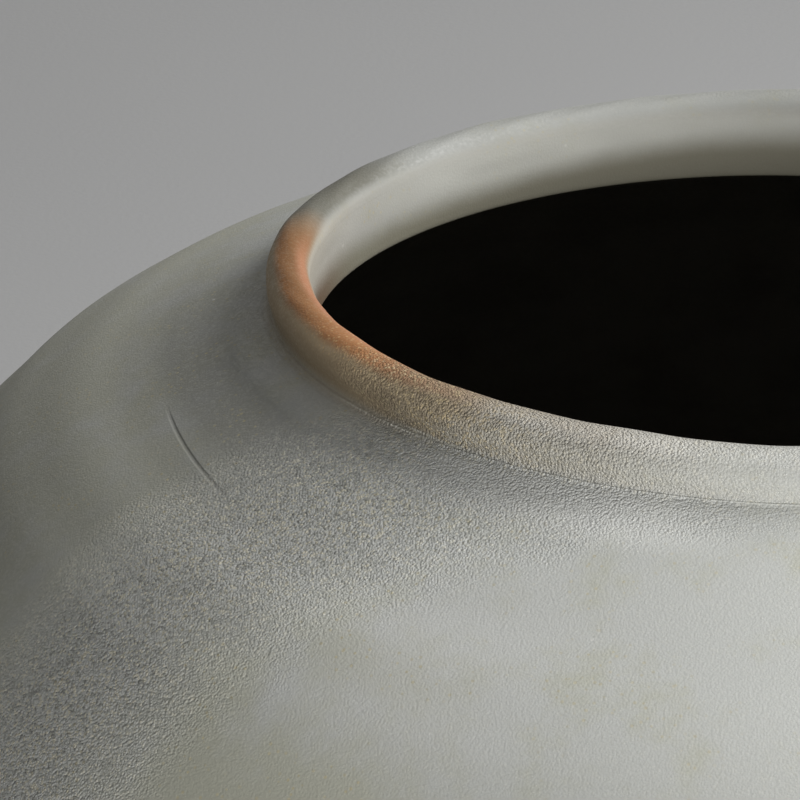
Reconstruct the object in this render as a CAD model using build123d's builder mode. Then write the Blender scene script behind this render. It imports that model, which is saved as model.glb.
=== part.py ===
from build123d import *
from math import acos, asin, cos, degrees, radians, sin, tan
import os

# A moon jar of glazed stoneware: two thrown bowls luted rim to rim, with a low collar round the mouth
# and a low foot ring. Millimetres, Z up, origin where the jar's axis meets the surface it stands on.
# Every profile is drawn in the XZ plane, X being the distance from the axis, and turned about Z.
# Sizes are those of the fired clay. The glaze lies outside them and adds its own thickness.

# Lower bowl
belly_radius = 204.4
belly_height = 203.0
wall_thickness = 7.0
heel_thickness = 12.0
floor_bend_radius = 30.0

# Upper bowl: a long dome, a tighter bend that reads as a soft ring on the shoulder, a flatter crown
dome_radius = 211.4
bend_start_radius = 142.4
bend_radius = 86.4
bend_turn = 18.0
crown_radius = 155.4

# Joints: a V groove in the piece below or behind, a V tongue on the other, and slip between them
slip_thickness = 0.8
belly_groove = 2.6
collar_groove = 1.4
foot_groove = 1.8

# Coil pressed over the belly joint from inside
coil_half_height = 9.0
coil_proud = 3.0

# Mouth: throat wall, round lip, and an outside that leans in under the lip
throat_radius = 82.6
lip_roll_radius = 3.5
lip_centre_rise = 4.8
lip_undercut = 20.0

# Foot
foot_radius = 79.0
foot_height = 10.0
foot_width = 11.0
foot_taper = 1.6
foot_edge_radius = 1.4

# Glaze: how thick it is, how far above the table it stops, how far it laps round the throat's lower edge
glaze_thickness = 0.6
glaze_line_height = 3.0
throat_lap = 4.0


def upright_arc_radius(reach, drop):
    """Radius of the arc that leaves upright and comes in by reach over a height of drop."""
    return (reach**2 + drop**2) / (2 * reach)


# Lower bowl: the outer arc runs from the belly to the heel, and the inner arc to a point one heel
# thickness inside it, so the wall thickens evenly towards the base
bowl_drop = belly_height - foot_height
bowl_radius = upright_arc_radius(belly_radius - foot_radius, bowl_drop)
bowl_centre = belly_radius - bowl_radius
bowl_turn = asin(bowl_drop / bowl_radius)
inner_belly_radius = belly_radius - wall_thickness
inner_heel_radius = foot_radius - heel_thickness * cos(bowl_turn)
inner_heel_height = foot_height + heel_thickness * sin(bowl_turn)
inner_drop = belly_height - inner_heel_height
inner_bowl_radius = upright_arc_radius(inner_belly_radius - inner_heel_radius, inner_drop)
inner_bowl_turn = degrees(asin(inner_drop / inner_bowl_radius))
floor_height = inner_heel_height - floor_bend_radius * (1 - sin(radians(inner_bowl_turn)))
floor_flat_radius = inner_heel_radius - floor_bend_radius * cos(radians(inner_bowl_turn))

# Upper bowl: its rim stands one layer of slip above the lower rim
seam_top = belly_height + slip_thickness
dome_centre = belly_radius - dome_radius
dome_turn = degrees(acos((bend_start_radius - dome_centre) / dome_radius))
shoulder_turn = dome_turn + bend_turn
bend_centre = dome_centre + (dome_radius - bend_radius) * cos(radians(dome_turn))
crown_centre = bend_centre + (bend_radius - crown_radius) * cos(radians(shoulder_turn))

# Collar
undercut = radians(lip_undercut)
lip_side_radius = throat_radius + lip_roll_radius + lip_roll_radius * cos(undercut)
lip_side_rise = lip_centre_rise - lip_roll_radius * sin(undercut)
collar_foot_radius = lip_side_radius - lip_side_rise * tan(undercut)

# Foot
foot_top = foot_height - slip_thickness
foot_inner_radius = foot_radius - foot_width
glaze_line_taper = foot_taper * (foot_top - glaze_line_height) / foot_top


def outer_lower_wall(growth=0):
    """Outside of the lower bowl from the belly down to the foot ring, grown outwards."""
    turn = degrees(acos((foot_radius + growth - bowl_centre) / (bowl_radius + growth)))
    return JernArc((belly_radius + growth, belly_height), (0, -1), bowl_radius + growth, -turn)


def inner_lower_wall(growth=0):
    """Inside of the lower bowl from the axis up, grown inwards: floor, bend and wall."""
    height = floor_height + growth
    floor = Line((0, height), (floor_flat_radius, height))
    bend = JernArc(floor @ 1, (1, 0), floor_bend_radius - growth, 90 - inner_bowl_turn)
    return JernArc(bend @ 1, bend % 1, inner_bowl_radius - growth, inner_bowl_turn)


def crown_turn(end_radius, depth=0):
    """Degrees that the crown has to turn, at a depth inside the outer face, to come in to end_radius."""
    return degrees(acos((end_radius - crown_centre) / (crown_radius - depth))) - shoulder_turn


def upper_wall(depth, last_turn):
    """Dome, bend and last_turn of the crown in one smooth line, at a depth inside the upper bowl's face."""
    dome = JernArc((belly_radius - depth, seam_top), (0, 1), dome_radius - depth, dome_turn)
    bend = JernArc(dome @ 1, dome % 1, bend_radius - depth, bend_turn)
    return JernArc(bend @ 1, bend % 1, crown_radius - depth, last_turn)


def joint_line(inside, outside, height, groove):
    """The V of a joint, from its inside to its outside: level at both ends, a groove deep in the middle."""
    return Polyline((inside, height), ((inside + outside) / 2, height - groove), (outside, height))


def slip_outline(inside, outside, height, groove):
    """A layer of slip on a joint: the joint's own line, and the same line one thickness higher."""
    lower = joint_line(inside, outside, height, groove)
    upper = joint_line(inside, outside, height + slip_thickness, groove)
    Line(lower @ 0, upper @ 0)
    Line(lower @ 1, upper @ 1)


# Height of the seat that is trimmed level on the shoulder for the collar, read off the shoulder's own curve
with BuildLine() as shoulder:
    seat_height = (upper_wall(0, crown_turn(collar_foot_radius)) @ 1).Y
collar_base = seat_height + slip_thickness
lip_centre_height = collar_base + lip_centre_rise


def collar_side(throat_bottom, growth=0):
    """Collar from a height in the throat over the lip to the outside of its base, grown outwards."""
    throat = Line((throat_radius - growth, throat_bottom), (throat_radius - growth, lip_centre_height))
    lip = JernArc(throat @ 1, (0, 1), lip_roll_radius + growth, -(180 + lip_undercut))
    return Line(lip @ 1, (collar_foot_radius + growth, collar_base + growth * tan(undercut / 2)))


def coil_outline(half_height, proud):
    """The stretch of wall that a coil on the belly joint covers, and its own swelling face."""
    lower_turn = degrees(asin(half_height / inner_bowl_radius))
    upper_turn = degrees(asin(half_height / (dome_radius - wall_thickness)))
    below = JernArc((inner_belly_radius, belly_height), (0, -1), inner_bowl_radius, -lower_turn)
    above = JernArc((inner_belly_radius, seam_top), (0, 1), dome_radius - wall_thickness, upper_turn)
    Line(below @ 0, above @ 0)
    ThreePointArc(below @ 1, (inner_belly_radius - proud, belly_height + slip_thickness / 2), above @ 1)


os.makedirs("parts", exist_ok=True)


# Lower bowl
with BuildPart() as lower_bowl:
    with BuildSketch(Plane.XZ):
        with BuildLine():
            inner_lower_wall()
            joint_line(inner_belly_radius, belly_radius, belly_height, belly_groove)
            outer_lower_wall()
            joint_line(foot_inner_radius, foot_radius, foot_height, -foot_groove)
            Polyline((foot_inner_radius, foot_height), (0, foot_height), (0, floor_height))
        make_face()
    revolve(axis=Axis.Z)
lower_bowl.part.label = "lower_bowl"
export_step(lower_bowl.part, "parts/lower_bowl.step")


# Slip in the belly joint
with BuildPart() as belly_slip:
    with BuildSketch(Plane.XZ):
        with BuildLine():
            slip_outline(inner_belly_radius, belly_radius, belly_height, belly_groove)
        make_face()
    revolve(axis=Axis.Z)
belly_slip.part.label = "belly_slip"
export_step(belly_slip.part, "parts/belly_slip.step")


# Upper bowl, grooved where the collar sits and cut straight down at the throat
with BuildPart() as upper_bowl:
    with BuildSketch(Plane.XZ):
        with BuildLine():
            joint_line(inner_belly_radius, belly_radius, seam_top, belly_groove)
            upper_wall(0, crown_turn(collar_foot_radius))
            joint_line(throat_radius, collar_foot_radius, seat_height, collar_groove)
            crown_inside = upper_wall(wall_thickness, crown_turn(throat_radius, wall_thickness))
            Line((throat_radius, seat_height), crown_inside @ 1)
        make_face()
    revolve(axis=Axis.Z)
upper_bowl.part.label = "upper_bowl"
export_step(upper_bowl.part, "parts/upper_bowl.step")


# Coil pressed over the seam from inside
with BuildPart() as belly_coil:
    with BuildSketch(Plane.XZ):
        with BuildLine():
            coil_outline(coil_half_height, coil_proud)
        make_face()
    revolve(axis=Axis.Z)
belly_coil.part.label = "belly_coil"
export_step(belly_coil.part, "parts/belly_coil.step")


# Slip under the collar
with BuildPart() as collar_slip:
    with BuildSketch(Plane.XZ):
        with BuildLine():
            slip_outline(throat_radius, collar_foot_radius, seat_height, collar_groove)
        make_face()
    revolve(axis=Axis.Z)
collar_slip.part.label = "collar_slip"
export_step(collar_slip.part, "parts/collar_slip.step")


# Collar, with a V tongue under it
with BuildPart() as mouth_collar:
    with BuildSketch(Plane.XZ):
        with BuildLine():
            collar_side(collar_base)
            joint_line(throat_radius, collar_foot_radius, collar_base, collar_groove)
        make_face()
    revolve(axis=Axis.Z)
mouth_collar.part.label = "mouth_collar"
export_step(mouth_collar.part, "parts/mouth_collar.step")


# Foot ring: slightly tapered, with a V tongue on top and its two lower edges rounded over
with BuildPart() as foot_ring:
    with BuildSketch(Plane.XZ):
        with BuildLine():
            joint_line(foot_inner_radius, foot_radius, foot_top, -foot_groove)
            Polyline(
                (foot_radius, foot_top),
                (foot_radius - foot_taper, 0),
                (foot_inner_radius + foot_taper, 0),
                (foot_inner_radius, foot_top),
            )
        ring_section = make_face()
        fillet(ring_section.vertices().group_by(Axis.Y)[0], foot_edge_radius)
    revolve(axis=Axis.Z)
foot_ring.part.label = "foot_ring"
export_step(foot_ring.part, "parts/foot_ring.step")


# Slip between the foot ring and the base of the lower bowl
with BuildPart() as foot_slip:
    with BuildSketch(Plane.XZ):
        with BuildLine():
            slip_outline(foot_inner_radius, foot_radius, foot_top, -foot_groove)
        make_face()
    revolve(axis=Axis.Z)
foot_slip.part.label = "foot_slip"
export_step(foot_slip.part, "parts/foot_slip.step")


# Where the two coats meet: the outer one laps round the throat's lower edge, onto the underside of the crown
throat_edge = crown_inside @ 1
lap_turn = degrees(throat_lap / (crown_radius - wall_thickness))


def outside_line(growth=0):
    """Outside of the jar above the foot ring, over the lip and down the throat, grown outwards."""
    Line((belly_radius + growth, belly_height), (belly_radius + growth, seam_top))
    crown = upper_wall(-growth, crown_turn(collar_foot_radius + growth, -growth))
    side = collar_side(throat_edge.Y, growth)
    Line(crown @ 1, side @ 1)
    return outer_lower_wall(growth)


# Outer glaze: from the glaze line on the foot up the outside, over the lip, down the throat and round
# the throat's lower edge
with BuildPart() as outer_glaze:
    with BuildSketch(Plane.XZ):
        with BuildLine():
            foot_side = foot_radius - glaze_line_taper
            clay_bottom = outside_line() @ 1
            clay_foot = Polyline((foot_side, glaze_line_height), (foot_radius, foot_top), clay_bottom)
            clay_lap = JernArc(throat_edge, -(crown_inside % 1), crown_radius - wall_thickness, -lap_turn)
            coat_bottom = outside_line(glaze_thickness) @ 1
            coat_foot = Line((foot_side + glaze_thickness, glaze_line_height), coat_bottom)
            edge_turn = Vector(0, -1).get_angle(-(crown_inside % 1))
            edge_start = throat_edge - Vector(glaze_thickness, 0)
            edge_round = JernArc(edge_start, (0, -1), glaze_thickness, edge_turn)
            lap_radius = crown_radius - wall_thickness - glaze_thickness
            coat_lap = JernArc(edge_round @ 1, edge_round % 1, lap_radius, -lap_turn)
            Line(clay_foot @ 0, coat_foot @ 0)
            Line(clay_lap @ 1, coat_lap @ 1)
        make_face()
    revolve(axis=Axis.Z)
outer_glaze.part.label = "outer_glaze"
export_step(outer_glaze.part, "parts/outer_glaze.step")


def inside_line(growth=0):
    """Inside of the jar from the axis at the floor up to where the outer glaze laps in, grown inwards."""
    wall = inner_lower_wall(growth)
    Line(wall @ 1, (inner_belly_radius - growth, seam_top))
    return upper_wall(wall_thickness + growth, crown_turn(throat_radius, wall_thickness) - lap_turn)


# Inner glaze: an even lining, which also swells over the coil and lies thickest along the coil's edges
with BuildPart() as inner_glaze:
    with BuildSketch(Plane.XZ):
        with BuildLine():
            clay_end = inside_line() @ 1
            coat_end = inside_line(glaze_thickness) @ 1
            Line((0, floor_height), (0, floor_height + glaze_thickness))
            Line(clay_end, coat_end)
        make_face()
        with BuildLine():
            coat_spread = glaze_thickness * coil_half_height / coil_proud
            coil_outline(coil_half_height + coat_spread, coil_proud + glaze_thickness)
        make_face()
        with BuildLine():
            coil_outline(coil_half_height, coil_proud)
        make_face(mode=Mode.SUBTRACT)
    revolve(axis=Axis.Z)
inner_glaze.part.label = "inner_glaze"
export_step(inner_glaze.part, "parts/inner_glaze.step")


# Foot glaze: the ceiling of the recess under the jar and the inside of the foot ring
with BuildPart() as foot_glaze:
    with BuildSketch(Plane.XZ):
        with BuildLine():
            foot_side = foot_inner_radius + glaze_line_taper
            Polyline(
                (0, foot_height),
                (foot_inner_radius, foot_height),
                (foot_inner_radius, foot_top),
                (foot_side, glaze_line_height),
                (foot_side - glaze_thickness, glaze_line_height),
                (foot_inner_radius - glaze_thickness, foot_top),
                (foot_inner_radius - glaze_thickness, foot_height - glaze_thickness),
                (0, foot_height - glaze_thickness),
                close=True,
            )
        make_face()
    revolve(axis=Axis.Z)
foot_glaze.part.label = "foot_glaze"
export_step(foot_glaze.part, "parts/foot_glaze.step")
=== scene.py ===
# %% [markdown]
# # A moon jar, seen close to its mouth
# A moon jar is two thrown bowls, one turned over and joined to the other at the belly, with a low collar
# round the mouth and a foot ring below. The measured jar comes in first, as solids that are true on every
# side, and it stays the frame for all that follows. What it lacks is the hand: it is perfectly round, and
# it has no surface. This lesson lets the clay settle a little, lays the glaze over it, and gives each
# material its grain.

# %% Load the measured jar
from math import acos, cos, degrees, pi, radians, sin, tan

import bmesh
import bpy
import numpy as np
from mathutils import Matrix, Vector


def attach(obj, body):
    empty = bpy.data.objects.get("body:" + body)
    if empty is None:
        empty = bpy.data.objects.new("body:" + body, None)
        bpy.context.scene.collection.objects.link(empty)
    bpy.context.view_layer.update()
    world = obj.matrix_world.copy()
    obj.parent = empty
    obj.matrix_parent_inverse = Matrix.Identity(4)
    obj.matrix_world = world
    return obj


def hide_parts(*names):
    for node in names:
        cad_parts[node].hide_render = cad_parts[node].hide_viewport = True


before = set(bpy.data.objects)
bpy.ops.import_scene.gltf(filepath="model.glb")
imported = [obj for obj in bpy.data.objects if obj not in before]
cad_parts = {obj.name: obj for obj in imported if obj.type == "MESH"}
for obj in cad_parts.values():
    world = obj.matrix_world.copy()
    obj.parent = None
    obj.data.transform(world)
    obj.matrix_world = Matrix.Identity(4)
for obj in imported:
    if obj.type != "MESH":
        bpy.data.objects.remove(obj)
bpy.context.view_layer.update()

print("pieces of the jar:", ", ".join(sorted(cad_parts)))

# %% [markdown]
# ## Where we look from
# The eye is a little above the rim and looks down at about 23 degrees. A long lens from one metre away
# keeps the ellipse of the mouth calm. The aim is left of the mouth's middle, so that the left half of the
# mouth and the shoulder beside it fill the frame. A camera turned only about X has no roll.

# %% Camera
look_down = 23.2
eye = Vector((-0.0668, -0.9280, 0.7602))
camera = bpy.data.objects.new("shoulder_camera", bpy.data.cameras.new("shoulder_camera"))
camera.location = eye
camera.rotation_euler = (radians(90 - look_down), 0, 0)
camera.data.sensor_width = 36
camera.data.lens = 249.3
camera.data.clip_start = 0.05
camera.data.clip_end = 60
bpy.context.collection.objects.link(camera)
bpy.context.scene.camera = camera
print("camera stands", round(eye.length, 3), "m from the jar's foot")

# %% [markdown]
# ## Two soft lights
# A soft window stands to the right, low enough that its light grazes the shoulder: grazing light is what
# shows the grain of a matte glaze. A long low panel in front opens the near side. It stands six metres
# off, so that the floor round the jar stays even. Each is placed by the angle at which the mouth sees it,
# and its power grows with the square of its distance, so the level on the jar is stated once and for any
# distance.

# %% Window and panel
mouth_middle = Vector((0, 0, 0.387))


def unit(around, above):
    """The direction that lies around degrees from +X and above degrees over the horizon."""
    level = cos(radians(above))
    return Vector((level * cos(radians(around)), level * sin(radians(around)), sin(radians(above))))


def soft_light(name, towards, away, wide, tall, level):
    """An area light at a distance away from the mouth, facing it. At level 1 a white surface that faces it
    renders white."""
    light = bpy.data.lights.new(name, "AREA")
    light.shape = "RECTANGLE"
    light.size, light.size_y = wide, tall
    light.energy = level * (pi * away) ** 2
    lamp = bpy.data.objects.new(name, light)
    lamp.location = mouth_middle + away * towards
    lamp.rotation_euler = towards.to_track_quat("Z", "Y").to_euler()
    lamp.visible_camera = False
    bpy.context.collection.objects.link(lamp)
    return lamp


window = soft_light("window_light", unit(21, 41), 2.0, 1.2, 0.8, 1.03)
panel = soft_light("panel_light", unit(-68, 3), 6.0, 3.0, 1.35, 0.83)
print("window", round(window.data.energy), "W, panel", round(panel.data.energy), "W")

# %% [markdown]
# ## The room and its floor
# The rest of the room is a weak even light. Only the camera, reflections and glass see its pale colour,
# so that colour adds no light to the jar. The floor is one wide plain disc under the foot.

# %% Room and floor
bpy.context.scene.view_settings.view_transform = "Standard"
room = bpy.data.worlds.new("room")
bpy.context.scene.world = room
room.use_nodes = True
room_steps, link = room.node_tree.nodes, room.node_tree.links.new
room_light = room_steps["Background"]
room_light.inputs["Color"].default_value = (1, 1, 1, 1)
room_light.inputs["Strength"].default_value = 0.175
room_seen = room_steps.new("ShaderNodeBackground")
room_seen.inputs["Color"].default_value = (0.5, 0.5, 0.5, 1)
ray = room_steps.new("ShaderNodeLightPath")
seen_by = ray.outputs["Is Camera Ray"]
for kind in ("Is Glossy Ray", "Is Transmission Ray"):
    either = room_steps.new("ShaderNodeMath")
    either.operation = "MAXIMUM"
    link(seen_by, either.inputs[0])
    link(ray.outputs[kind], either.inputs[1])
    seen_by = either.outputs[0]
choose = room_steps.new("ShaderNodeMixShader")
link(seen_by, choose.inputs[0])
link(room_light.outputs[0], choose.inputs[1])
link(room_seen.outputs[0], choose.inputs[2])
link(choose.outputs[0], room_steps["World Output"].inputs["Surface"])

floor_mesh = bmesh.new()
bmesh.ops.create_circle(floor_mesh, cap_ends=True, segments=96, radius=14)
floor_data = bpy.data.meshes.new("floor")
floor_mesh.to_mesh(floor_data)
floor_mesh.free()
floor = bpy.data.objects.new("floor", floor_data)
bpy.context.collection.objects.link(floor)
print("room light", round(room_light.inputs["Strength"].default_value, 3))

# %% [markdown]
# ## How the soft clay settled
# No thrown mouth is truly round. While it is soft the clay relaxes into long waves: two or three round
# the circle, about a millimetre at the lip and at the belly. The shoulder also sank a little under the
# weight of the collar, in a shallow hollow that is deepest in front: it is what darkens the shoulder just
# beside the collar and brightens it further out. The same small movement is given to every piece, so the
# glaze stays on the clay. Nothing moves at the foot, where the jar stands.

# %% The movement, as a function of place
hollow_reach, hollow_width, hollow_depth = 0.118, 0.0148, 1.3
hollow_angle = radians(250)


def ease(x):
    """0 below 0, 1 above 1, and a smooth rise between."""
    x = np.clip(x, 0, 1)
    return x * x * (3 - 2 * x)


def settle(points):
    """Places on the true round jar, moved as the clay moved: out and up, worked out in millimetres."""
    x, y, z = points.T
    around = np.arctan2(y, x)
    reach = np.hypot(x, y)
    mouth = ease((z - 0.365) / 0.018)
    belly = ease((z - 0.014) / 0.10) * (1 - ease((z - 0.24) / 0.08))
    out = mouth * (-0.16 * np.cos(2 * around) + 0.35 * np.sin(2 * around)
                   - 1.08 * np.cos(3 * around) + 0.27 * np.sin(3 * around))
    out += belly * (1.1 * np.cos(2 * around - 0.5) + 0.6 * np.cos(3 * around + 1.0))
    out *= np.minimum(reach / 0.06, 1)
    up = mouth * (0.2 * np.cos(around) + 0.2 * np.cos(2 * around) + 0.6 * np.sin(2 * around))
    hollow = hollow_depth * np.exp(-((reach - hollow_reach) / hollow_width) ** 2)
    up -= hollow * ease((z - 0.28) / 0.05) * (0.6 + 0.4 * np.cos(around - hollow_angle))
    out, up = out / 1000, up / 1000
    return np.column_stack((x + out * np.cos(around), y + out * np.sin(around), z + up))


deepest = np.array([[hollow_reach * cos(hollow_angle), hollow_reach * sin(hollow_angle), 0.36]])
print("the shoulder sank", round(1000 * (0.36 - float(settle(deepest)[0, 2])), 2), "mm in front")

# %% [markdown]
# ## The clay under the glaze
# The bowls, the collar, the coil and the slip are hidden under the glaze, but they are what it lies on.
# Their measured shapes are right, so each is copied, its split edges are welded, and the copy settles.

# %% Settle the clay pieces


def settled_copy(node):
    """A copy of a measured piece that has settled, standing for the measured one."""
    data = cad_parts[node].data.copy()
    weld = bmesh.new()
    weld.from_mesh(data)
    bmesh.ops.remove_doubles(weld, verts=weld.verts, dist=1e-6)
    weld.to_mesh(data)
    weld.free()
    places = np.empty(3 * len(data.vertices))
    data.vertices.foreach_get("co", places)
    data.vertices.foreach_set("co", settle(places.reshape(-1, 3)).ravel())
    piece = bpy.data.objects.new("settled_" + node, data)
    bpy.context.collection.objects.link(piece)
    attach(piece, "root")
    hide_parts(node)
    return piece


clay_nodes = ("lower_bowl", "upper_bowl", "belly_coil", "mouth_collar")
clay_pieces = [settled_copy(node) for node in clay_nodes]
slip_pieces = [settled_copy(node) for node in ("belly_slip", "collar_slip")]
lining = settled_copy("inner_glaze")
print("settled:", len(clay_pieces) + len(slip_pieces) + 1, "pieces")

# %% [markdown]
# ## The line of the outside
# Seen from the side, the jar is a chain of arcs that flow into each other: the lower bowl, the long dome
# above the seam, a tighter bend that reads as a soft ring on the shoulder, the flatter crown, and the
# rolled lip. Two arcs meet smoothly when they share a normal, so each new centre lies on the last arc's
# end normal.

# %% Arcs of the body and the lip


def arc(centre, radius, start, end, step):
    """Points (distance from the axis, height) along an arc, with start and end in degrees from level."""
    count = max(2, round(abs(radians(end - start)) * radius / step) + 1)
    turn = np.radians(np.linspace(start, end, count))
    return np.column_stack((centre[0] + radius * np.cos(turn), centre[1] + radius * np.sin(turn)))


def next_centre(centre, radius, lean, new_radius):
    """Centre of an arc of new_radius that flows on from the last one, where that leans by lean degrees."""
    back = radius - new_radius
    return (centre[0] + back * cos(radians(lean)), centre[1] + back * sin(radians(lean)))


bowl_centre, bowl_radius = (-0.00682, 0.2030), 0.21122
dome_centre, dome_radius = (-0.0070, 0.2038), 0.2114
bend_reach, bend_turn, bend_radius, crown_radius = 0.1424, 18, 0.0864, 0.1554
bend_lean = degrees(acos((bend_reach - dome_centre[0]) / dome_radius))
bend_centre = next_centre(dome_centre, dome_radius, bend_lean, bend_radius)
crown_lean = bend_lean + bend_turn
crown_centre = next_centre(bend_centre, bend_radius, crown_lean, crown_radius)
lip_centre, lip_radius, lip_start = (0.0861, 0.387015), 0.0035, -20
print("the bend leans", round(bend_lean, 1), "degrees, the crown", round(crown_lean, 1))

# %% [markdown]
# ## The collar's foot and the throat
# Where the collar stands on the crown, the glaze fills a small cove: an arc that touches both the
# collar's side and the crown. The crease is the line in it where the fold of the glaze lies. Inside the
# lip the glaze runs down the throat, round its lower edge and a little way along the underside of the
# wall.

# %% Cove, crease and throat
glaze_depth, cove = 0.0006, 0.0022
collar_foot, collar_base, collar_lean = 0.088078, 0.382215, 10
throat, throat_bottom = 0.0826, 0.375526
wall, throat_lap = 0.007, 0.004
throat_lean = degrees(acos((throat - crown_centre[0]) / (crown_radius - wall)))


def cove_place(coat):
    """The cove's centre between the collar's side and the crown, and the side's direction upwards."""
    foot = np.array((collar_foot + coat, collar_base + coat * tan(radians(collar_lean))))
    along = arc(lip_centre, lip_radius + coat, lip_start, lip_start, 1)[0] - foot
    along /= np.hypot(*along)
    inside = foot + cove * np.array((along[1], -along[0])) - crown_centre
    lean_in = inside @ along
    up_side = (lean_in ** 2 - inside @ inside + (crown_radius + coat + cove) ** 2) ** 0.5 - lean_in
    return crown_centre + inside + up_side * along, along


cove_centre, collar_side = cove_place(glaze_depth)
crown_stop = degrees(np.arctan2(*(cove_centre - crown_centre)[::-1]))
side_stop = degrees(np.arctan2(collar_side[0], -collar_side[1]))
crease_lean = radians(206)
crease = cove_centre + cove * np.array((cos(crease_lean), sin(crease_lean)))
crease_reach, crease_height = float(crease[0]), float(crease[1])
print("the crease lies at", [round(1000 * side, 1) for side in (crease_reach, crease_height)], "mm")

# %% [markdown]
# ## One line, twice
# The coat needs the line twice: outside it for the seen face, and on the clay for the hidden one. So a
# single function draws it for any thickness of coat. The hidden line can do with a quarter of the points.

# %% Draw the seen and the hidden line
glaze_line, foot_side = 0.003, 0.07792
heel_reach, heel_height = 0.079, 0.0080


def outside(coat, fine):
    """The outside with a coat on the clay, from the glaze line on the foot over the lip to just inside the
    throat. fine scales the spacing of the points: 1 for what is seen, more for what is hidden."""
    heel_lean = -degrees(acos((heel_reach + coat - bowl_centre[0]) / (bowl_radius + coat)))
    crown_end = degrees(acos((collar_foot + coat - crown_centre[0]) / (crown_radius + coat)))
    lap = degrees(throat_lap / (crown_radius - wall))
    if coat:
        side = [arc(crown_centre, crown_radius + coat, crown_lean, crown_stop, 0.0010 * fine)[1:],
                arc(cove_centre, cove, crown_stop + 180, side_stop, 0.00015)[1:]]
    else:
        side = [arc(crown_centre, crown_radius, crown_lean, crown_end, 0.0010 * fine)[1:]]
    throat_top, throat_end = (throat - coat, lip_centre[1]), (throat - coat, throat_bottom)
    down = np.linspace(throat_top, throat_end, max(2, round(18 / fine)))
    runs = [
        np.array(((foot_side + coat, glaze_line), (heel_reach + 0.6 * coat, heel_height))),
        arc(bowl_centre, bowl_radius + coat, heel_lean, 0, 0.0055 * fine),
        arc(dome_centre, dome_radius + coat, 0, bend_lean, 0.0036 * fine),
        arc(bend_centre, bend_radius + coat, bend_lean, crown_lean, 0.0015 * fine)[1:],
        *side,
        arc(lip_centre, lip_radius + coat, lip_start, 180, 0.0004 * fine),
        down[1:],
    ]
    if coat:
        runs.append(arc((throat, throat_bottom), coat, 180, 180 + throat_lean, coat / 2)[1:])
    under_radius = crown_radius - wall - coat
    runs.append(arc(crown_centre, under_radius, throat_lean, throat_lean - lap, 0.001 * fine)[1:])
    return np.vstack(runs)


seen_line = outside(glaze_depth, 1)
hidden_line = outside(0, 4)
print("points on the line:", len(seen_line), "outside and", len(hidden_line), "against the clay")

# %% [markdown]
# ## Marks of the hand in the glazed surface
# The wheel leaves faint rings that climb in a slow spiral, and the joined belly keeps a soft ridge. Glaze
# runs down the collar and gathers at its foot, a millimetre thick in front, with a hairline fold that has
# a raised edge. These are real heights, in the mesh, so they also show at the outline and in any light.
# Each is a small height along the surface's normal, in metres.

# %% Heights of rings, ridge and lip
seam_height = 0.2034


def surface_height(reach, height, around):
    """How far the glazed surface stands out from its smooth line."""
    outer = (height > 0.02) & (height < 0.3815)
    body = ease((height - 0.012) / 0.02) * ease((0.3800 - height) / 0.010)
    climb = np.arctan2(height - seam_height, reach + 0.01) * 0.21
    rings = 0.00011 * np.sin(climb * 2 * pi / 0.019 + around)
    rings += 0.00008 * np.sin(climb * 2 * pi / 0.031 - around + 1.3)
    rings *= 1 + 1.3 * ease((0.19 - height) / 0.05)
    ridge = 0.0005 * np.exp(-((height - seam_height) / 0.0045) ** 2)
    ridge *= 0.7 + 0.3 * np.sin(3 * around + 0.8)
    valley = -0.00012 * np.exp(-((reach - 0.1355) / 0.005) ** 2) * (height > 0.3)
    from_crease = np.hypot(reach - crease_reach, height - crease_height)
    fold = np.where(reach > crease_reach, 0.00014, 0) * np.exp(-((from_crease - 0.0004) / 0.0002) ** 2)
    fold -= 0.00016 * np.exp(-(from_crease / 0.0002) ** 2)
    gathered = ease((around - radians(215)) / radians(30)) * ease((radians(345) - around) / radians(30))
    gathered *= 0.0012 * np.exp(-(from_crease / 0.0045) ** 2) * ease((reach - 0.0860) / 0.0025)
    lip = ease((height - 0.383) / 0.003)
    waves = 0.00009 * np.sin(9 * around + 0.7) + 0.00007 * np.sin(17 * around + 2.1)
    waves += 0.00005 * np.sin(31 * around + 0.4 + 1500 * (reach - 0.086))
    return outer * body * (rings + ridge + valley) + fold * (height < 0.385) + gathered + lip * waves


in_front = float(surface_height(crease_reach, crease_height, 1.5 * pi))
print("at the crease in front the glaze stands", round(1000 * in_front, 2), "mm out")

# %% [markdown]
# ## Turn the outer glaze
# The coat is a thin closed skin: its outer face carries every mark, its inner face lies on the clay and
# only needs enough points to follow it. Both lines are joined into one loop and turned round the axis,
# which gives clean four-sided faces with no open edge.

# %% Turn the loop


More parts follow.
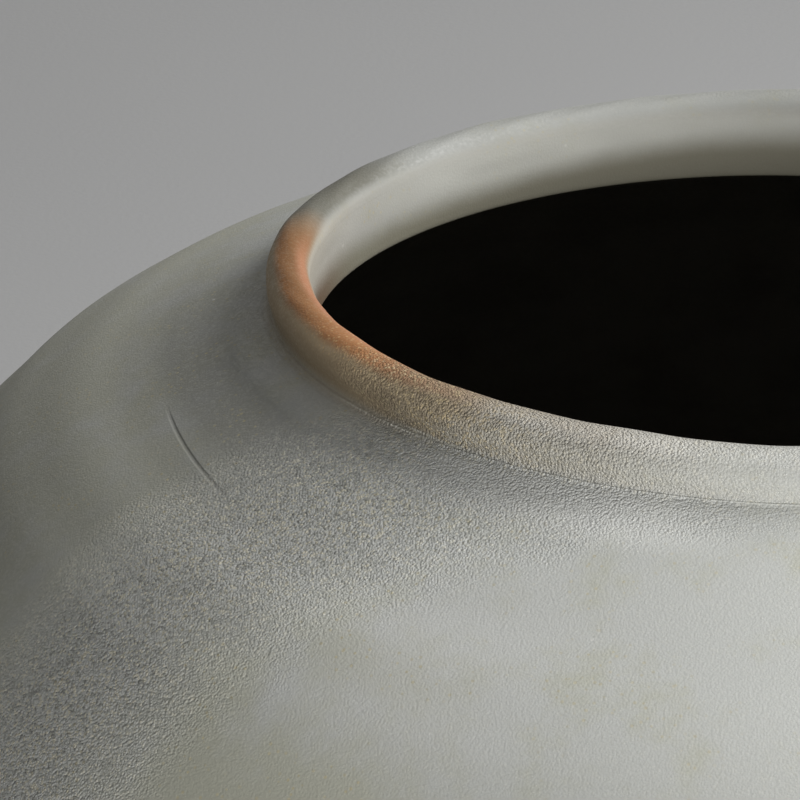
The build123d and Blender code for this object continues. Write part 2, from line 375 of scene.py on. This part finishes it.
def turn_loop(name, loop, lift, spokes):
    """A closed ring of faces from a loop of (distance, height) points turned round the axis. Each point is
    moved along the loop's normal by lift(distance, height, angle) and then settled, and it keeps its place
    from before it settled, for patterns that follow the lip."""
    around = np.arange(spokes) * 2 * pi / spokes
    ahead = np.roll(loop, -1, 0) - np.roll(loop, 1, 0)
    normal = np.column_stack((ahead[:, 1], -ahead[:, 0])) / np.hypot(*ahead.T)[:, None]
    reach, angle = np.meshgrid(loop[:, 0], around)
    height = np.tile(loop[:, 1], (spokes, 1))
    out = lift(reach, height, angle)
    reach, height = reach + out * normal[:, 0], height + out * normal[:, 1]
    places = np.stack((reach * np.cos(angle), reach * np.sin(angle), height), -1).reshape(-1, 3)
    count = len(loop)
    here = np.arange(spokes * count).reshape(spokes, count)
    right, up = np.roll(here, -1, 0), np.roll(here, -1, 1)
    faces = np.stack((here, right, np.roll(right, -1, 1), up), -1).reshape(-1, 4)
    data = bpy.data.meshes.new(name)
    data.from_pydata(settle(places).tolist(), [], faces.tolist())
    kept = data.attributes.new("thrown_place", "FLOAT_VECTOR", "POINT")
    kept.data.foreach_set("vector", places.ravel())
    data.shade_smooth()
    piece = bpy.data.objects.new(name, data)
    bpy.context.collection.objects.link(piece)
    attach(piece, "root")
    return piece


glaze_loop = np.vstack((seen_line, hidden_line[::-1]))
is_seen = np.arange(len(glaze_loop)) < len(seen_line)
coat = turn_loop("outer_glaze_coat", glaze_loop, lambda r, h, a: surface_height(r, h, a) * is_seen, 680)
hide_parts("outer_glaze")
print("outer glaze:", len(coat.data.polygons), "faces")

# %% [markdown]
# ## Mixing a finish
# Every finish is built from the same few steps: a place on the piece in metres, patterns that depend on
# that place, colours laid over each other where a pattern says so, and one surface shader. A small helper
# keeps the recipes short enough to read.

# %% Helpers for the recipes


class Recipe:
    """A material under construction. add() makes a step, whose inputs are numbers, colours or the results
    of other steps. colour is what has been laid on so far."""

    def __init__(self, name):
        self.material = bpy.data.materials.new(name)
        self.material.use_nodes = True
        self.tree = self.material.node_tree
        self.shader = self.tree.nodes["Principled BSDF"]
        self.place = self.add("TexCoord", out="Object")
        self.colour = None

    def add(self, kind, out=0, inputs=None, **settings):
        step = self.tree.nodes.new("ShaderNode" + kind)
        for name, value in settings.items():
            setattr(step, name, value)
        self.feed(step, inputs or {})
        return step.outputs[out]

    def feed(self, step, inputs):
        for name, value in inputs.items():
            if isinstance(value, bpy.types.NodeSocket):
                self.tree.links.new(value, step.inputs[name])
            else:
                step.inputs[name].default_value = value

    def calc(self, operation, *values):
        return self.add("Math", inputs=dict(enumerate(values)), operation=operation)

    def plus(self, first, *others):
        for other in others:
            first = self.calc("ADD", first, other)
        return first

    def times(self, first, *others):
        for other in others:
            first = self.calc("MULTIPLY", first, other)
        return first

    def length(self, x, y):
        """The length of the way that goes x along and y across."""
        pair = self.add("CombineXYZ", inputs={"X": x, "Y": y})
        return self.add("VectorMath", out="Value", operation="LENGTH", inputs={"Vector": pair})

    def noise(self, scale, detail=2.0, roughness=0.5):
        inputs = {"Vector": self.place, "Scale": scale, "Detail": detail, "Roughness": roughness}
        return self.add("TexNoise", inputs=inputs)

    def dots(self, scale):
        """Distance from the middles of scattered dots, as a share of their spacing."""
        return self.add("TexVoronoi", out="Distance", inputs={"Vector": self.place, "Scale": scale})

    def ramp(self, value, low, high, start=0.0, end=1.0):
        """value eased from start at low to end at high."""
        inputs = {"Value": value, "From Min": low, "From Max": high, "To Min": start, "To Max": end}
        return self.add("MapRange", inputs=inputs, interpolation_type="SMOOTHSTEP")

    def near(self, value, middle, edge, core):
        """1 where value is within core of the middle, easing to 0 at edge from it."""
        return self.ramp(self.calc("ABSOLUTE", self.plus(value, -middle)), edge, core)

    def blend(self, share, first, second):
        """Colour first, going over to second as share goes from 0 to 1."""
        step = self.tree.nodes.new("ShaderNodeMix")
        step.data_type = "RGBA"
        for index, value in ((0, share), (6, first), (7, second)):
            if isinstance(value, bpy.types.NodeSocket):
                self.tree.links.new(value, step.inputs[index])
            else:
                step.inputs[index].default_value = value if index == 0 else (*value, 1)
        return step.outputs[2]

    def lay(self, share, colour):
        """Lays a colour over what is there, as far as share says."""
        self.colour = self.blend(share, self.colour, colour)

    def finish(self, roughness, height, depth):
        """Joins the colour, a roughness and a height pattern, depth metres deep, to the surface shader."""
        bump = self.add("Bump", inputs={"Height": height, "Distance": depth})
        self.feed(self.shader, {"Base Color": self.colour, "Roughness": roughness, "Normal": bump})
        return self.material


def dress(piece, material):
    """Gives every material slot of a piece the one finish."""
    if not piece.material_slots:
        piece.data.materials.append(material)
    for slot in piece.material_slots:
        slot.material = material


print("a recipe can", ", ".join(name for name in vars(Recipe) if not name.startswith("_")))

# %% [markdown]
# ## Bare clay and slip
# The body is a coarse stoneware: warm grey-brown where it is bare, with dark specks of iron and grains of
# grog that stand out of the surface. Slip is the same clay washed fine, so it is paler and almost smooth.

# %% Clay and slip finishes


def earth(name, dark, light, grain_scale, grain_depth, speck_share):
    """Fired clay: two tones in soft patches, iron specks, and a granular surface."""
    recipe = Recipe(name)
    patches = recipe.ramp(recipe.noise(60, 3.0), 0.35, 0.65)
    grain = recipe.noise(grain_scale, 3.0, 0.6)
    recipe.colour = recipe.blend(patches, dark, light)
    speck = recipe.times(recipe.ramp(recipe.dots(500.0), 0.26, 0.16),
                         recipe.ramp(patches, 0.2, 0.9, 0.3, speck_share))
    recipe.lay(speck, (0.07, 0.045, 0.03))
    recipe.shader.inputs["Specular IOR Level"].default_value = 0.3
    return recipe.finish(recipe.ramp(grain, 0.3, 0.7, 0.78, 0.95), grain, grain_depth)


clay = earth("bare_stoneware", (0.24, 0.16, 0.105), (0.36, 0.25, 0.17), 900.0, 0.0004, 0.9)
slip = earth("fired_slip", (0.31, 0.24, 0.17), (0.39, 0.31, 0.23), 1600.0, 0.0001, 0.3)
for piece in clay_pieces + [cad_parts["foot_ring"]]:
    dress(piece, clay)
for piece in slip_pieces + [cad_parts["foot_slip"]]:
    dress(piece, slip)
print("clay on", len(clay_pieces) + 1, "pieces, slip on", len(slip_pieces) + 1)

# %% [markdown]
# ## The outer glaze: finding the way
# The glaze is a matte celadon. Its marks follow the jar, so the recipe first works out where a point
# lies: its reach from the axis, its height, and from_west, its angle round the jar in radians, 0 at the
# left and a quarter turn in front. Places are those from before the clay settled, so what follows the lip
# follows it exactly. The angle jumps at the jar's right side, so on_left fades the marks that go by it
# before they get there. One soft noise, the mottle, makes edges ragged.

# %% Places on the jar
celadon = Recipe("matte_celadon")
celadon.place = celadon.add("Attribute", out="Vector", attribute_name="thrown_place")
split = celadon.add("SeparateXYZ", inputs={"Vector": celadon.place}).node
east, north, height = split.outputs[0], split.outputs[1], split.outputs[2]
reach = celadon.calc("SQRT", celadon.plus(celadon.times(east, east), celadon.times(north, north)))
from_west = celadon.calc("ARCTAN2", celadon.times(north, -1.0), celadon.times(east, -1.0))
on_left = celadon.times(celadon.ramp(from_west, -2.9, -1.8), celadon.ramp(from_west, 2.9, 1.9))
mottle = celadon.noise(75.0, 4.0, 0.65)
ragged = celadon.times(celadon.plus(mottle, -0.5), 0.7)
ragged_angle = celadon.plus(from_west, ragged)
print("steps so far:", len(celadon.tree.nodes))

# %% [markdown]
# ## The sugary grain
# Starved of gloss, the glaze froze in fine grains. Each grain is a cell with a chance of its own, which
# will set how dark or how bright it is, and it stands up towards its middle. The grain is sharpest in a
# band where ash fell on the shoulder, and soft elsewhere. The band is where a slab about five centimetres
# thick, leaning back as it rises, cuts the jar's left and front. It ends below the shoulder, and is weaker
# in the throat.

# %% Grain and ash band
grain_cells = 2200.0
cells = celadon.add("TexVoronoi", inputs={"Vector": celadon.place, "Scale": grain_cells}).node
chance = celadon.add("SeparateColor", out="Red", inputs={"Color": cells.outputs["Color"]})
grain = celadon.plus(celadon.times(chance, 0.25), celadon.times(cells.outputs["Distance"], -1.3),
                     celadon.times(celadon.noise(1600.0, 5.0, 0.75), 1.2))
ash_line = celadon.plus(north, celadon.times(height, -0.43), celadon.times(mottle, -0.010))
ash_band = celadon.times(celadon.near(ash_line, -0.241, 0.027, 0.003), celadon.ramp(east, 0.03, -0.03),
                         celadon.ramp(height, 0.24, 0.33))
sharpness = celadon.times(celadon.plus(celadon.times(ash_band, 0.95), 0.05),
                          celadon.ramp(reach, 0.0828, 0.0850, 0.35, 1.0))
print("celadon grain", round(1000 / grain_cells, 2), "mm")

# %% [markdown]
# ## Tones of the body
# The colour is a pale grey that turns olive on the side that faced the fire, in soft mottled patches.
# Painted shade darkens the left side, which turns from the light, a ring round the collar, where its
# shadow falls, and the lower shoulder; two soft patches are painted shade too, and a patch in front is
# painted light. The ash itself fired almost white. Each tone is laid over the last one, so the painted
# shade patch that comes after the ash darkens it too.

# %% Grey, olive, painted shade and ash
fire_side = celadon.ramp(celadon.calc("SUBTRACT", reach, east), 0.14, 0.26)
olive = celadon.ramp(celadon.plus(mottle, celadon.times(fire_side, 0.32)), 0.48, 0.86)
celadon.colour = celadon.blend(olive, (0.545, 0.554, 0.525), (0.493, 0.493, 0.400))
# Painted shade: the left side, turned from the light, is darkened.
painted_west_shade = celadon.times(on_left, celadon.ramp(from_west, 1.00, 0.40, 0.0, 0.36))
celadon.lay(painted_west_shade, (0.30, 0.30, 0.28))
# Painted shade: a ring round the collar, where its shadow falls.
painted_ring_shade = celadon.times(celadon.near(reach, 0.104, 0.010, 0.003),
                           celadon.ramp(from_west, 0.90, 0.55, 0.0, 0.6),
                           celadon.ramp(from_west, -0.70, 0.25))
celadon.lay(painted_ring_shade, (0.21, 0.21, 0.19))
# Painted shade on the lower shoulder, strongest in front.
painted_low_shade = celadon.times(on_left, celadon.ramp(reach, 0.126, 0.166),
                          celadon.ramp(from_west, 0.5, 1.3, 0.15, 0.55))
celadon.lay(painted_low_shade, (0.29, 0.29, 0.255))
# The tone of the painted shade patches.
painted_shade_tone = (0.27, 0.27, 0.245)


def patch(x, y, radius, share):
    """A soft round patch on the shoulder, share strong at (x, y) and gone at its radius."""
    away = celadon.length(celadon.plus(east, -x), celadon.plus(north, -y))
    away = celadon.plus(away, celadon.times(mottle, 0.012))
    return celadon.times(celadon.ramp(away, radius, 0.0, 0.0, share), celadon.ramp(height, 0.34, 0.36))


# Painted light: a pale patch in front. Painted shade: the two darker patches at the left, one over the ash.
celadon.lay(patch(-0.067, -0.110, 0.050, 0.55), (0.637, 0.641, 0.615))
celadon.lay(patch(-0.103, -0.058, 0.036, 0.45), painted_shade_tone)
celadon.lay(celadon.times(ash_band, 0.88), (0.75, 0.755, 0.715))
celadon.lay(patch(-0.084, -0.057, 0.036, 0.30), painted_shade_tone)
print("steps so far:", len(celadon.tree.nodes))

# %% [markdown]
# ## Grains, specks and white dots
# Where the grain is sharp, the darkest grains let the clay show and the brightest are crusts of ash. Tiny
# ochre specks of iron lie mostly on the fire side, and a few white dots are spots where the glaze
# crawled.

# %% Grains and specks of the body
dark_grain = celadon.times(celadon.ramp(chance, 0.34, 0.06, 0.0, 0.6), sharpness)
celadon.lay(dark_grain, (0.22, 0.22, 0.175))
light_grain = celadon.times(celadon.ramp(chance, 0.70, 0.90), sharpness)
celadon.lay(light_grain, (0.85, 0.81, 0.66))
ochre = celadon.times(celadon.ramp(celadon.dots(620.0), 0.24, 0.14), celadon.ramp(mottle, 0.45, 0.62),
                      celadon.ramp(east, 0.06, -0.10, 0.12, 0.6))
celadon.lay(ochre, (0.52, 0.45, 0.26))
celadon.lay(celadon.ramp(celadon.dots(95.0), 0.040, 0.026, 0.0, 0.8), (0.66, 0.66, 0.62))
print("steps so far:", len(celadon.tree.nodes))

# %% [markdown]
# ## Painted shades of the collar
# Two measures say where a point of the lip lies: the angle round the jar, and lip_turn, the angle round
# the roll of the lip, 0 at its outside and pi at its inside. Painted shade darkens the collar's side in
# front, a shade more than the shoulder, and its crest at the back and at the back left.

# %% Painted shade on the collar
lip_turn = celadon.calc("ARCTAN2", celadon.plus(height, -lip_centre[1]),
                        celadon.plus(reach, -lip_centre[0]))
ragged_turn = celadon.plus(lip_turn, ragged)
over_lip = celadon.calc("MAXIMUM", celadon.ramp(height, 0.3866, 0.3882),
                        celadon.ramp(reach, 0.0850, 0.0862))
on_collar = celadon.times(celadon.ramp(height, 0.3822, 0.3838), over_lip)
# Painted shade on the collar's side in front.
painted_front_shade = celadon.times(on_collar, on_left, celadon.ramp(lip_turn, 0.9, 0.2),
                            celadon.ramp(from_west, 0.6, 0.9, 0.0, 0.25))
celadon.lay(painted_front_shade, (0.40, 0.405, 0.375))
# Painted shade on the crest at the back.
painted_back_shade = celadon.times(on_collar, on_left, celadon.ramp(lip_turn, 1.0, 1.8),
                           celadon.ramp(from_west, -0.15, -0.35, 0.0, 0.33))
celadon.lay(painted_back_shade, (0.22, 0.22, 0.20))
# Painted shade on the crest at the back left.
painted_crest_shade = celadon.times(on_collar, celadon.ramp(lip_turn, 2.8, 2.2),
                            celadon.near(from_west, -0.28, 0.50, 0.20))
celadon.lay(celadon.times(painted_crest_shade, 0.95), (0.15, 0.145, 0.115))
print("steps so far:", len(celadon.tree.nodes))

# %% [markdown]
# ## The toasted lip
# On the side that faced the fire the glaze drew thin over the lip, and the iron in the clay burned
# through. Brown lies on the collar's side, where it is partly painted shade for the side turned from the
# light, khaki on its middle, orange on the crest and salmon on the inner edge, and khaki and orange are
# deeper at the very left. The mottle makes the edges of the toast ragged.

# %% Brown, khaki, orange and salmon
flash = celadon.times(on_collar, on_left, celadon.ramp(from_west, -0.30, -0.08))
khaki_end = celadon.plus(ragged_angle, celadon.times(lip_turn, -0.14))
khaki = celadon.times(flash, celadon.ramp(khaki_end, 1.02, 0.66), celadon.ramp(lip_turn, 3.0, 2.5))
khaki_tone = celadon.blend(celadon.ramp(from_west, 0.05, 0.50), (0.33, 0.265, 0.175), (0.54, 0.41, 0.255))
celadon.lay(khaki, khaki_tone)
# The brown on the collar's side is partly painted shade: that side turns from the light.
side = celadon.times(flash, celadon.ramp(ragged_turn, 0.85, 0.15), celadon.ramp(ragged_angle, 0.95, 0.60))
celadon.lay(celadon.times(side, 0.95), (0.31, 0.235, 0.145))
orange = celadon.times(flash, celadon.ramp(ragged_turn, 0.60, 1.15), celadon.ramp(ragged_angle, 1.00, 0.70),
                       celadon.ramp(lip_turn, 2.90, 2.35))
orange_tone = celadon.blend(celadon.ramp(from_west, 0.05, 0.60), (0.25, 0.120, 0.045), (0.47, 0.215, 0.085))
celadon.lay(orange, orange_tone)
salmon = celadon.times(flash, celadon.ramp(lip_turn, 1.70, 2.25), celadon.ramp(ragged_angle, 0.94, 0.70),
                       celadon.ramp(from_west, -0.18, 0.05), celadon.ramp(lip_turn, 2.85, 2.35))
celadon.lay(celadon.times(salmon, 0.9), (0.46, 0.21, 0.11))
print("steps so far:", len(celadon.tree.nodes))

# %% [markdown]
# ## Grains of the lip
# The toast is not smooth: golden specks glow in it, ash dusts it where the band crosses the lip, and the
# grains of the ash band burned dark or turned gold in it. In front the crest is brightened: painted light.

# %% Gold, dust, burned grains and painted light on the crest
gold = celadon.times(celadon.ramp(celadon.dots(1100.0), 0.32, 0.18), celadon.ramp(lip_turn, 0.2, 0.8),
                     on_collar, celadon.ramp(from_west, 1.45, 0.85), celadon.ramp(from_west, 0.20, 0.60))
celadon.lay(celadon.times(gold, 0.75), (0.75, 0.52, 0.26))
dusted = celadon.times(ash_band, on_collar, celadon.ramp(from_west, 0.60, 0.90, 0.15, 0.45))
celadon.lay(dusted, (0.80, 0.70, 0.52))
# Painted light: the crest in front is brightened.
painted_crest_light = celadon.times(on_collar, celadon.ramp(lip_turn, 0.3, 0.9),
                            celadon.near(from_west, 1.12, 0.30, 0.12))
celadon.lay(celadon.times(painted_crest_light, 0.5), (0.78, 0.75, 0.68))
toasted = celadon.times(flash, celadon.ramp(from_west, 1.15, 0.75))
celadon.lay(celadon.times(dark_grain, toasted, 0.5), (0.12, 0.09, 0.06))
celadon.lay(celadon.times(light_grain, toasted, 0.8), (0.92, 0.74, 0.44))
print("steps so far:", len(celadon.tree.nodes))

# %% [markdown]
# ## At the collar's foot
# The crease and the shoulder next to it on the left carry a brown stain, darkened as painted shade. In
# front the gathered glaze is thick, and painted light makes it milky there. A broken pale line on the
# raised edge of the fold is a painted highlight.

# %% Stain and painted shade, painted light and painted highlight at the collar's foot
crease_off = celadon.length(celadon.plus(reach, -crease_reach), celadon.plus(height, -crease_height))
# Brown stain and painted shade in the crease, and painted shade beside the collar's foot on the left.
fold_stain_and_shade = celadon.times(celadon.ramp(crease_off, 0.0032, 0.0002, 0.0, 0.8),
                           celadon.ramp(from_west, 1.10, 0.60))
painted_collar_foot_shade = celadon.times(celadon.ramp(reach, 0.0975, 0.0895, 0.0, 0.25), celadon.ramp(from_west, 1.00, 0.60))
stain_and_painted_shade = celadon.times(celadon.calc("MAXIMUM", fold_stain_and_shade, painted_collar_foot_shade), celadon.ramp(from_west, -0.75, -0.25),
                      celadon.ramp(lip_turn, 0.4, -0.2), over_lip)
celadon.lay(stain_and_painted_shade, (0.235, 0.20, 0.14))
# Painted light: the glaze at the collar's foot in front is made pale.
painted_foot_light = celadon.times(celadon.ramp(reach, 0.1040, 0.0960), celadon.ramp(reach, 0.0895, 0.0925),
                     celadon.near(from_west, 1.08, 0.42, 0.14), celadon.ramp(height, 0.3850, 0.3835))
celadon.lay(celadon.times(painted_foot_light, 0.8), (0.83, 0.835, 0.80))
# Painted highlight along the raised edge of the fold.
painted_fold_highlight = celadon.times(celadon.near(crease_off, 0.00045, 0.00024, 0.00008),
                       celadon.ramp(reach, crease_reach, crease_reach + 0.0001),
                       celadon.near(from_west, 0.92, 0.44, 0.15),
                       celadon.ramp(mottle, 0.34, 0.54, 0.2, 0.85))
celadon.lay(painted_fold_highlight, (0.66, 0.64, 0.56))
print("steps so far:", len(celadon.tree.nodes))

# %% [markdown]
# ## Down the throat
# Inside the lip the glaze is warm on the toasted side, and further back painted light makes it pale, where
# it faces the light. Lower down painted shade takes it over into the dark of the lining, olive at the back
# and brown on the toasted side.

# %% Throat
in_throat = celadon.ramp(reach, 0.0862, 0.0842)
warm_side = celadon.times(in_throat, on_left, celadon.ramp(height, 0.3900, 0.3878),
                          celadon.ramp(from_west, -0.60, 0.10, 0.15, 0.6))
celadon.lay(warm_side, (0.47, 0.40, 0.30))
# Painted light on the throat further back.
painted_throat_light = celadon.times(in_throat, on_left, celadon.ramp(height, 0.3898, 0.3860),
                            celadon.ramp(from_west, -0.45, -0.85, 0.0, 0.5))
celadon.lay(painted_throat_light, (0.66, 0.66, 0.59))
# Painted shade down the throat, darker lower down.
throat_shade_height = celadon.plus(height, celadon.times(ragged, 0.003),
                           celadon.times(on_left, celadon.ramp(from_west, -1.60, -0.80, -0.0030, 0.0)))
painted_throat_shade = celadon.times(in_throat, celadon.ramp(throat_shade_height, 0.3828, 0.3766, 0.0, 0.95))
throat_shade_tone = celadon.blend(celadon.ramp(from_west, -0.45, -0.12), (0.25, 0.235, 0.175), (0.15, 0.09, 0.05))
celadon.lay(painted_throat_shade, throat_shade_tone)
print("steps so far:", len(celadon.tree.nodes))

# %% [markdown]
# ## A scratch, and the whole finish
# One fine scratch runs over the shoulder at the left. It is a thin line that drifts outwards as it goes
# round, a little darker than the glaze and cut into the same height pattern as the grain. A bright grain
# is a little glossier than a dark one.

# %% Scratch and outer glaze finish
scratch_line = celadon.plus(reach, celadon.times(from_west, -0.01203))
scratch = celadon.times(celadon.near(scratch_line, 0.10830, 0.00045, 0.00008),
                        celadon.ramp(height, 0.36, 0.365), celadon.ramp(from_west, 0.245, 0.36),
                        celadon.ramp(from_west, 0.605, 0.54))
celadon.lay(celadon.times(scratch, 0.24), (0.193, 0.185, 0.163))
celadon.shader.inputs["Specular IOR Level"].default_value = 0.3
grain_height = celadon.plus(celadon.times(grain, sharpness), celadon.times(scratch, -0.33))
dress(coat, celadon.finish(celadon.ramp(chance, 0.2, 0.9, 0.75, 0.50), grain_height, 0.00074))
print("the celadon takes", len(celadon.tree.nodes), "steps")

# %% [markdown]
# ## The lining and the glaze under the foot
# Inside, the glaze is a thin dark olive-brown coat; its darkness is partly painted shade, which keeps the
# inside of the jar black. The recess under the jar was brushed, and keeps the celadon's tones. Both have a
# finer, weaker grain.

# %% Lining and foot glaze


def thin_glaze(name, pale, olive_tone, depth):
    """The celadon as a thin coat: soft patches, a weak grain, a few pinholes."""
    recipe = Recipe(name)
    patches = recipe.ramp(recipe.noise(45, 4.0, 0.6), 0.35, 0.7)
    fine = recipe.noise(1100.0, 2.0, 0.5)
    recipe.colour = recipe.blend(patches, pale, olive_tone)
    recipe.lay(recipe.ramp(recipe.dots(160.0), 0.06, 0.03, 0.0, 0.7), (0.2, 0.15, 0.1))
    recipe.shader.inputs["Specular IOR Level"].default_value = 0.4
    return recipe.finish(recipe.ramp(fine, 0.3, 0.7, 0.5, 0.68), fine, depth)


# The lining's dark colour is partly painted shade: it keeps the inside of the jar black.
painted_dark_lining = thin_glaze("celadon_lining", (0.16, 0.15, 0.125), (0.12, 0.11, 0.09), 0.0001)
brushed = thin_glaze("celadon_foot", (0.51, 0.515, 0.455), (0.43, 0.43, 0.35), 0.00015)
dress(lining, painted_dark_lining)
dress(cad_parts["foot_glaze"], brushed)
print("thin coats:", painted_dark_lining.name, "and", brushed.name)

# %% [markdown]
# ## The floor
# A plain pale floor, with only a breath of unevenness so that it doesn't read as paper.

# %% Floor finish
plaster = Recipe("pale_floor")
plaster.colour = plaster.blend(plaster.noise(3.0), (0.445, 0.445, 0.445), (0.475, 0.475, 0.47))
dress(floor, plaster.finish(0.9, plaster.noise(400.0), 0.0001))
print("floor:", floor.material_slots[0].material.name)

# %% [markdown]
# ## The measured size
# The dressed jar has to keep the measured size.
